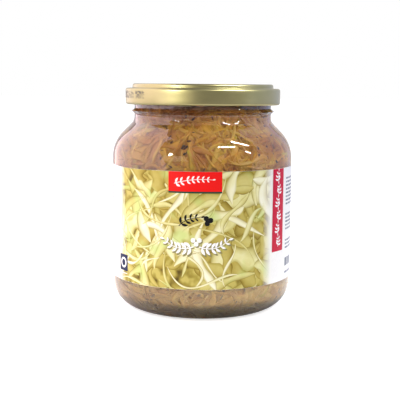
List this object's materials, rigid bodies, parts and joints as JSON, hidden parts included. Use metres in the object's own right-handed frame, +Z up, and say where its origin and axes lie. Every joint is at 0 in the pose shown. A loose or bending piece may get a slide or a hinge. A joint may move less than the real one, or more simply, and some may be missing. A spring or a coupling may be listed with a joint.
{
  "type": "sauerkraut jar",
  "caption": "Shut twist-off glass jar filled with sauerkraut, with a gold lined metal cap and a wrap-round paper label.",
  "frame": {"origin": "on the table, under the middle of the jar", "axes": "+Z up along the jar's axis, -Y towards the front of the label"},
  "size_m": [0.0802, 0.0801, 0.0995],
  "materials": {
    "glass": "gloss",
    "lid": "gloss",
    "label": "satin",
    "sauerkraut": "gloss"
  },
  "bodies": {
    "root": {"glass_jar": "glass", "lid": "lid", "label": "label", "sauerkraut": "sauerkraut"}
  },
  "joints": []
}
